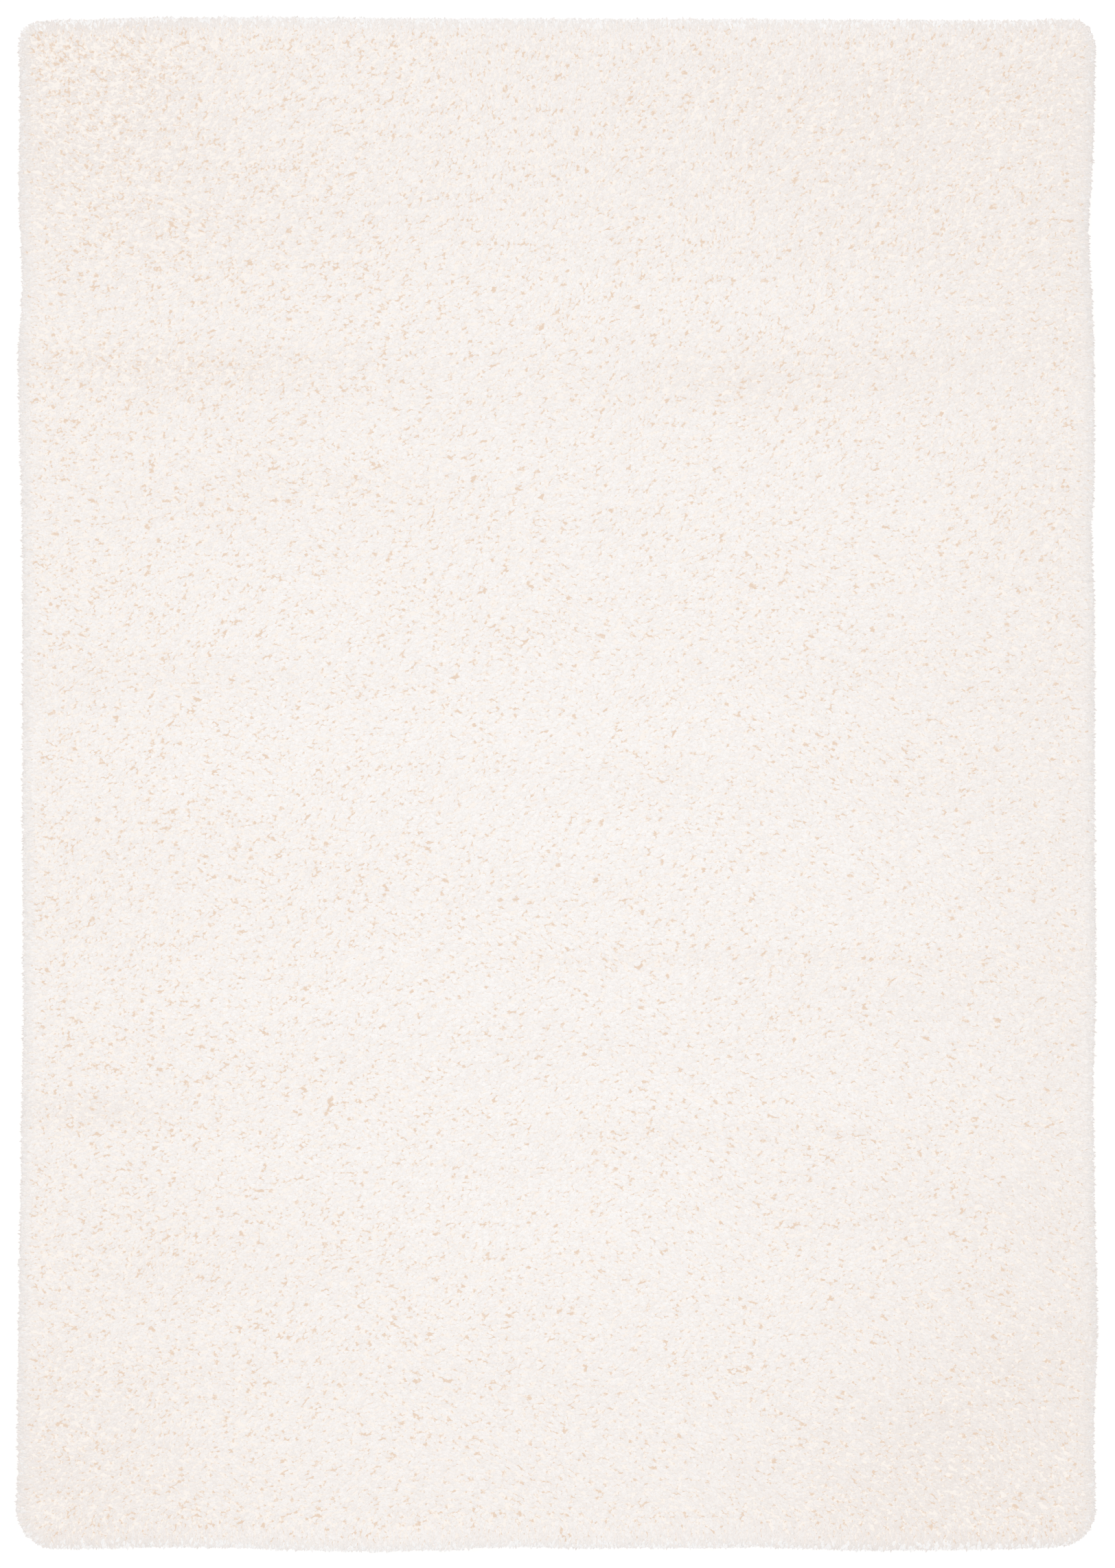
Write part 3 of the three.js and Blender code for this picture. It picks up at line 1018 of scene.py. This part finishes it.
# %% Press the folded and trodden places
FOLD_MARKS = [
    {"x": -0.56, "y": 0.625, "wide": 0.26, "tall": 0.03, "deep": 0.3},
    {"x": 0.3, "y": 0.6, "wide": 0.24, "tall": 0.04, "deep": 0.2},
    {"x": -0.38, "y": 0.45, "wide": 0.2, "tall": 0.025, "deep": 0.12},
    {"x": -0.70, "y": -0.49, "wide": 0.13, "tall": 0.025, "deep": 0.22},
    {"x": 0.2, "y": -0.52, "wide": 0.3, "tall": 0.018, "deep": 0.12},
    {"x": 0.35, "y": -0.26, "wide": 0.35, "tall": 0.016, "deep": 0.14},
    {"x": -0.55, "y": 0.86, "wide": 0.28, "tall": 0.09, "deep": 0.14},
    {"x": 0.4, "y": 0.95, "wide": 0.3, "tall": 0.12, "deep": 0.14},
    {"x": -0.72, "y": 1.05, "wide": 0.17, "tall": 0.12, "deep": 0.28},
    {"x": -0.78, "y": -1.12, "wide": 0.3, "tall": 0.3, "deep": 0.2},
    {"x": 0.78, "y": -1.12, "wide": 0.3, "tall": 0.25, "deep": 0.46},
]


def fold_marks(places):
    """How strongly the yarn is pressed at each place, from 0 to about 0.5."""
    pressed = np.zeros(len(places))
    for mark in FOLD_MARKS:
        across = (places[:, 0] - mark["x"]) / mark["wide"]
        along = (places[:, 1] - mark["y"]) / mark["tall"]
        pressed += mark["deep"] * np.exp(-(across**2) - along**2)
    return pressed


def banks(places, kind):
    """Soft banks of pile, wider than they are deep."""
    return kind["rise"] * swell(places / (kind["across"], kind["along"]), 1, kind["seed"])


print("pressed places:", len(FOLD_MARKS))

# %% Choose the tone of the yarn
TONE_MIDDLE = 0.88
# Painted shade that grows from the middle of the rug toward its edges.
PAINTED_SHADE_FALL = {"x": -0.13, "y": -0.05, "across": 0.225, "along": 0.21}
TONE_LEAST = 0.42
TONE_SWELL = {"across": 500 * MM, "along": 80 * MM, "rise": 0.05, "seed": 23}


def yarn_tone_and_shade(places):
    """Tone with painted shade: palest in the middle, shaded toward the edges and where pressed."""
    x, y = places[:, 0] / half.x - PAINTED_SHADE_FALL["x"], places[:, 1] / half.y - PAINTED_SHADE_FALL["y"]
    shade_fall = PAINTED_SHADE_FALL["across"] * x**2 + PAINTED_SHADE_FALL["along"] * y**2
    drift = banks(places, TONE_SWELL)
    return np.maximum(TONE_MIDDLE - shade_fall + drift - fold_marks(places), TONE_LEAST)


print("tone at the middle:", round(yarn_tone_and_shade(np.zeros((1, 2)))[0], 2))

# %% Choose how full it grows
GROW_MIDDLE = 0.888
GROW_LEFT = 0.125
GROW_BACK = 0.09
GROW_PRESSED = 0.25
GROW_PATCHES = {"across": 55 * MM, "along": 45 * MM, "rise": 0.07, "seed": 24}
GROW_BANDS = {"across": 600 * MM, "along": 55 * MM, "rise": 0.025, "seed": 25}
GROW_ROWS = {"across": 110 * MM, "along": 15 * MM, "rise": 0.07, "seed": 26}
ROWS_AT_MIDDLE = 0.6
ROWS_FALL = 1.2


def yarn_growth(places):
    """How full each strand is: thinner toward the left and the back, and in patches."""
    leftness, backness = np.clip(places * (-1, 1) / (half.x, half.y), 0, 1).T
    frontness = np.clip(ROWS_AT_MIDDLE - ROWS_FALL * places[:, 1] / half.y, 0, 1)
    rows = banks(places, GROW_ROWS) * frontness
    uneven = banks(places, GROW_PATCHES) + banks(places, GROW_BANDS) + rows
    pressed = GROW_PRESSED * fold_marks(places)
    return GROW_MIDDLE - GROW_LEFT * leftness - GROW_BACK * backness + uneven - pressed


print("fullness at the middle:", round(yarn_growth(np.zeros((1, 2)))[0], 2))

# %% Lay out the stitches of the field
FIELD_LEAN = 0.05
ROOT_BURIED = 1.0 * MM
FIELD_SEED = 31


def field_stitches():
    places, turns = staggered_rows(STITCH_PITCH, FIELD_SEED)
    inside, nearest = inside_edge(places)
    kept = inside > FIELD_FROM
    places, turns, inside, nearest = places[kept], turns[kept], inside[kept], nearest[kept]
    lie = fall_outward(places, lie_of_pile(places), turns)
    return {
        "x": places[:, 0],
        "y": places[:, 1],
        "z": bed_height(places) - ROOT_BURIED,
        "lie": turn_outward(lie, inside, nearest),
        "lean": np.full(len(places), FIELD_LEAN),
        "grow": yarn_growth(places),
        "tone": yarn_tone_and_shade(places),
    }


field = field_stitches()
print("stitches in the field:", len(field["x"]))

# %% [markdown]
# ## The rim
#
# Past the last full rows nothing props the pile up, so the yarn leans out over
# the edge of the ground and hangs almost to the floor. The field's rows are
# even as seen from above, so on a steep slope they would stand far apart and
# leave it bare. So rows of stitches run round the edge here, evenly down the
# shoulder of the low pile, and each strand lies along the slope where it stands.
#
# The outer strands take the ramp's cool tones, which are painted shade, with
# little spread. One step further along the ramp starts the field's warm yarn,
# which would show here as dark streaks.

# %% Walk down the shoulder of the low pile
RIM_STEP = 4.5 * MM
RIM_FROM = 20 * MM
RIM_LOWEST = 2.5 * MM


def rim_rows():
    """Places down the shoulder of the low pile: inset, height and slope."""
    line = np.array(BED_RINGS)
    bends = np.diff(line, axis=0)
    reached = np.concatenate([[0], np.cumsum(np.linalg.norm(bends, axis=1))])
    slope = np.arctan2(-bends[:, 1], -bends[:, 0])
    slope = np.interp(reached, (reached[1:] + reached[:-1]) / 2, slope)
    stops = np.arange(0, reached[-1], RIM_STEP)
    rows = np.column_stack([np.interp(stops, reached, v) for v in (line[:, 0], line[:, 1], slope)])
    return rows[(rows[:, 0] < RIM_FROM) & (rows[:, 1] > RIM_LOWEST)]


print("rows round the rim:", len(rim_rows()))

# %% Place a row round the rug
RIM_PITCH = 3.4 * MM
RIM_STRAY = 0.35
RIM_PAINTED_SHADE = {"sides": 0.08, "ends": 0.19}
RIM_DIM_BELOW = 10 * MM

row_length = round(len(edge) * EDGE_STEP / RIM_PITCH)


def row_round(chances, shift):
    """One row of places round the edge, each off its place by chance, and the number
    of the edge point before each of them."""
    at = np.arange(row_length) + shift + chances.uniform(-RIM_STRAY, RIM_STRAY, row_length)
    at = at / row_length * len(edge)
    before = np.floor(at).astype(int) % len(edge)
    share = (at % 1)[:, None]
    return edge[before] * (1 - share) + edge[(before + 1) % len(edge)] * share, before


def rim_shade_tone(before, height):
    """Painted rim shade: cool at the sides, palest at the rug's two ends, deeper near the floor."""
    sideways = np.abs(edge_out[before, 0])
    shade_tone = RIM_PAINTED_SHADE["ends"] + (RIM_PAINTED_SHADE["sides"] - RIM_PAINTED_SHADE["ends"]) * sideways
    return shade_tone * min(1.0, height / RIM_DIM_BELOW)


print("stitches in a row:", row_length)

# %% Lay out the stitches of the rim
RIM_SEED = 41
RIM_ROOT_STRAY = 1 * MM
RIM_ENDS_OUT = 1.2 * MM
RIM_SHORT = 0.8
RIM_CLEAR = -1.5 * MM
STRAND_REACH = 15 * MM
RIM_SHADE_EASE = 2


def rim_row(number, inset, height, slope):
    """One row of stitches, set into the shoulder and leaning down its slope."""
    chances = np.random.default_rng(RIM_SEED + number)
    spots, before = row_round(chances, 0.5 * (number % 2))
    sunk = inset + ROOT_BURIED * math.sin(slope)
    sunk = sunk + chances.uniform(-1, 1, (row_length, 1)) * RIM_ROOT_STRAY
    spots = spots - edge_out[before] * (sunk - RIM_ENDS_OUT * np.abs(edge_out[before, 1:]))
    rise = chances.uniform(-1, 1, row_length) * RIM_ROOT_STRAY
    # Which rim strands take the painted rim shade: more of them nearer the edge.
    shaded_outer = chances.uniform(0, 1, row_length) < (1 - inset / BED_RINGS[0][0]) ** RIM_SHADE_EASE
    grow = RIM_SHORT + (1 - RIM_SHORT) * min(1.0, height / BED_RINGS[1][1])
    droop = math.asin(min(1.0, (height - RIM_CLEAR) / (STRAND_REACH * grow)))
    return {
        "x": spots[:, 0],
        "y": spots[:, 1],
        "z": height - ROOT_BURIED * math.cos(slope) + rise,
        "lie": np.arctan2(edge_out[before, 1], edge_out[before, 0]),
        "lean": np.full(row_length, min(slope, droop)),
        "grow": np.full(row_length, grow),
        "tone": np.where(shaded_outer, rim_shade_tone(before, height), yarn_tone_and_shade(spots)),
    }


laid = [rim_row(number, *row) for number, row in enumerate(rim_rows())]
rim = {name: np.concatenate([row[name] for row in laid]) for name in field}
print("stitches round the rim:", len(rim["x"]))

# %% [markdown]
# ## Tufting the rug
#
# A single mesh of all the strands would be too heavy, so the pile is tufted in
# bands across the rug, as a carpet is made on a loom, and the rim is a band of
# its own. Each band runs through the same tree and comes out as one plain mesh.
# A tip that dips into the floor is laid on it.

# %% Run a cloud of stitches through the tree
TIP_REST = 0.5 * MM


def stitch_cloud(name, stitches):
    """Loose points that carry what the tufting tree asks for."""
    mesh = bpy.data.meshes.new(name)
    spots = np.column_stack([stitches["x"], stitches["y"], stitches["z"]])
    mesh.vertices.add(len(spots))
    mesh.vertices.foreach_set("co", spots.astype(np.float32).ravel())
    for wanted in ("lie", "lean", "grow", "tone"):
        layer = mesh.attributes.new(wanted, "FLOAT", "POINT")
        layer.data.foreach_set("value", stitches[wanted].astype(np.float32))
    cloud = bpy.data.objects.new(name, mesh)
    bpy.context.scene.collection.objects.link(cloud)
    return cloud


def tufted_mesh(cloud, asked):
    """What the tree makes of a cloud, as a plain mesh. Inputs are set by identifier."""
    modifier = cloud.modifiers.new("tufting", "NODES")
    modifier.node_group = tufting
    for item in tufting.interface.items_tree:
        if item.in_out == "INPUT" and item.name in asked:
            modifier[item.identifier] = asked[item.name]
    graph = bpy.context.evaluated_depsgraph_get()
    return bpy.data.meshes.new_from_object(cloud.evaluated_get(graph), depsgraph=graph)


def rest_on_floor(mesh):
    """Lays every tip that dips into the floor on it."""
    spots = np.empty(len(mesh.vertices) * 3, np.float32)
    mesh.vertices.foreach_get("co", spots)
    spots[2::3] = np.maximum(spots[2::3], TIP_REST)
    mesh.vertices.foreach_set("co", spots)


print("tips rest above the floor, in mm:", TIP_REST / MM)

# %% Tuft the bands
BANDS = 5
BAND_SEED = 50
RIM_BAND_SEED = 60
RIM_SPREADS = {
    "Slimness": 0.7,
    "Lie spread": 0.55,
    "Lean spread": 0.12,
    "Size spread": 0.08,
    "Tone spread": 0.02,
}


def tuft(name, stitches, seed, **spreads):
    """One band of the pile: a plain mesh, and the cloud of stitches cleared away."""
    cloud = stitch_cloud(name + "_stitches", stitches)
    mesh = tufted_mesh(cloud, {"Seed": seed, "Yarn kinds": kinds, "Finish": cream_yarn, **spreads})
    bpy.data.objects.remove(cloud)
    mesh.name = name
    rest_on_floor(mesh)
    piece = bpy.data.objects.new(name, mesh)
    bpy.context.scene.collection.objects.link(piece)
    mesh.calc_loop_triangles()
    print(name, "triangles:", len(mesh.loop_triangles))
    return piece


def band_of(stitches, number):
    """The stitches of one band, an equal share of them all."""
    low, high = np.quantile(stitches["y"], [number / BANDS, (number + 1) / BANDS])
    chosen = (stitches["y"] >= low) & ((stitches["y"] < high) | (number == BANDS - 1))
    return {name: values[chosen] for name, values in stitches.items()}


pile = [tuft(f"pile_band_{n + 1}", band_of(field, n), BAND_SEED + n) for n in range(BANDS)]
pile.append(tuft("pile_rim", rim, RIM_BAND_SEED, **RIM_SPREADS))

# %% [markdown]
# ## Letting the light through
#
# Light soaks through airy yarn, so the strands of a real pile hardly shade one
# another. Solid strands would, and turn the rug grey. Making them glow would
# look flat. So they are told not to cast shadows or block the light that
# bounces about, while the low pile still does.

# %% Let light through the yarn ends
for piece in pile:
    piece.visible_diffuse = False
    piece.visible_shadow = False
print("pieces that let light through:", len(pile))

# %% [markdown]
# ## Putting it together
#
# The rug has no moving parts, so every piece rides on the one body. The low
# pile takes the place of the imported model's plain one.

# %% Finish
for piece in [ground, bed, *pile]:
    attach(piece, "root")
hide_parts("shag_rug")
